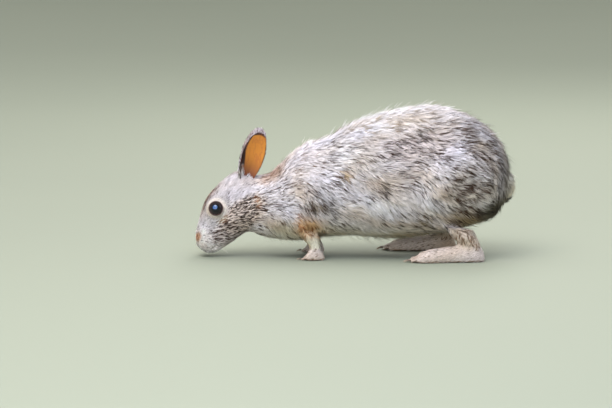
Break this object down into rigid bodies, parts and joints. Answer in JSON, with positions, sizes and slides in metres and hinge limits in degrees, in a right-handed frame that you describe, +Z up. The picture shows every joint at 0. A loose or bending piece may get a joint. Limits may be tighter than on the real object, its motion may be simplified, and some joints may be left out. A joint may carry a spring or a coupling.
{
  "type": "cottontail rabbit, still display model",
  "caption": "Still, life-size cottontail rabbit grazing: nose down, ears up, back arched, standing on all feet.",
  "frame": {"origin": "middle of the animal's bounding box, on the floor it stands on", "axes": "+X towards the tail, so the rabbit faces -X; +Y towards its right side; +Z up"},
  "size_m": [0.3372, 0.1181, 0.1585],
  "materials": {
    "coat": "dense moulting winter coat, pale grey and white with brown and black ticking",
    "foot_coat": "short pinkish buff fur",
    "ear": "thin warm skin with sparse short hair, dark at the edge",
    "eye": "wet, very dark brown, with a clear cornea"
  },
  "bodies": {
    "root": {"head": "coat", "neck": "coat", "trunk": "coat", "tail": "coat", "thigh_left": "coat", "thigh_right": "coat", "shank_left": "coat", "shank_right": "coat", "upper_arm_left": "coat", "upper_arm_right": "coat", "forearm_left": "coat", "forearm_right": "coat", "hind_foot_left": "foot_coat", "hind_foot_right": "foot_coat", "forepaw_left": "foot_coat", "forepaw_right": "foot_coat", "ear_left": "ear", "ear_right": "ear", "eye_left": "eye", "eye_right": "eye"}
  },
  "joints": []
}
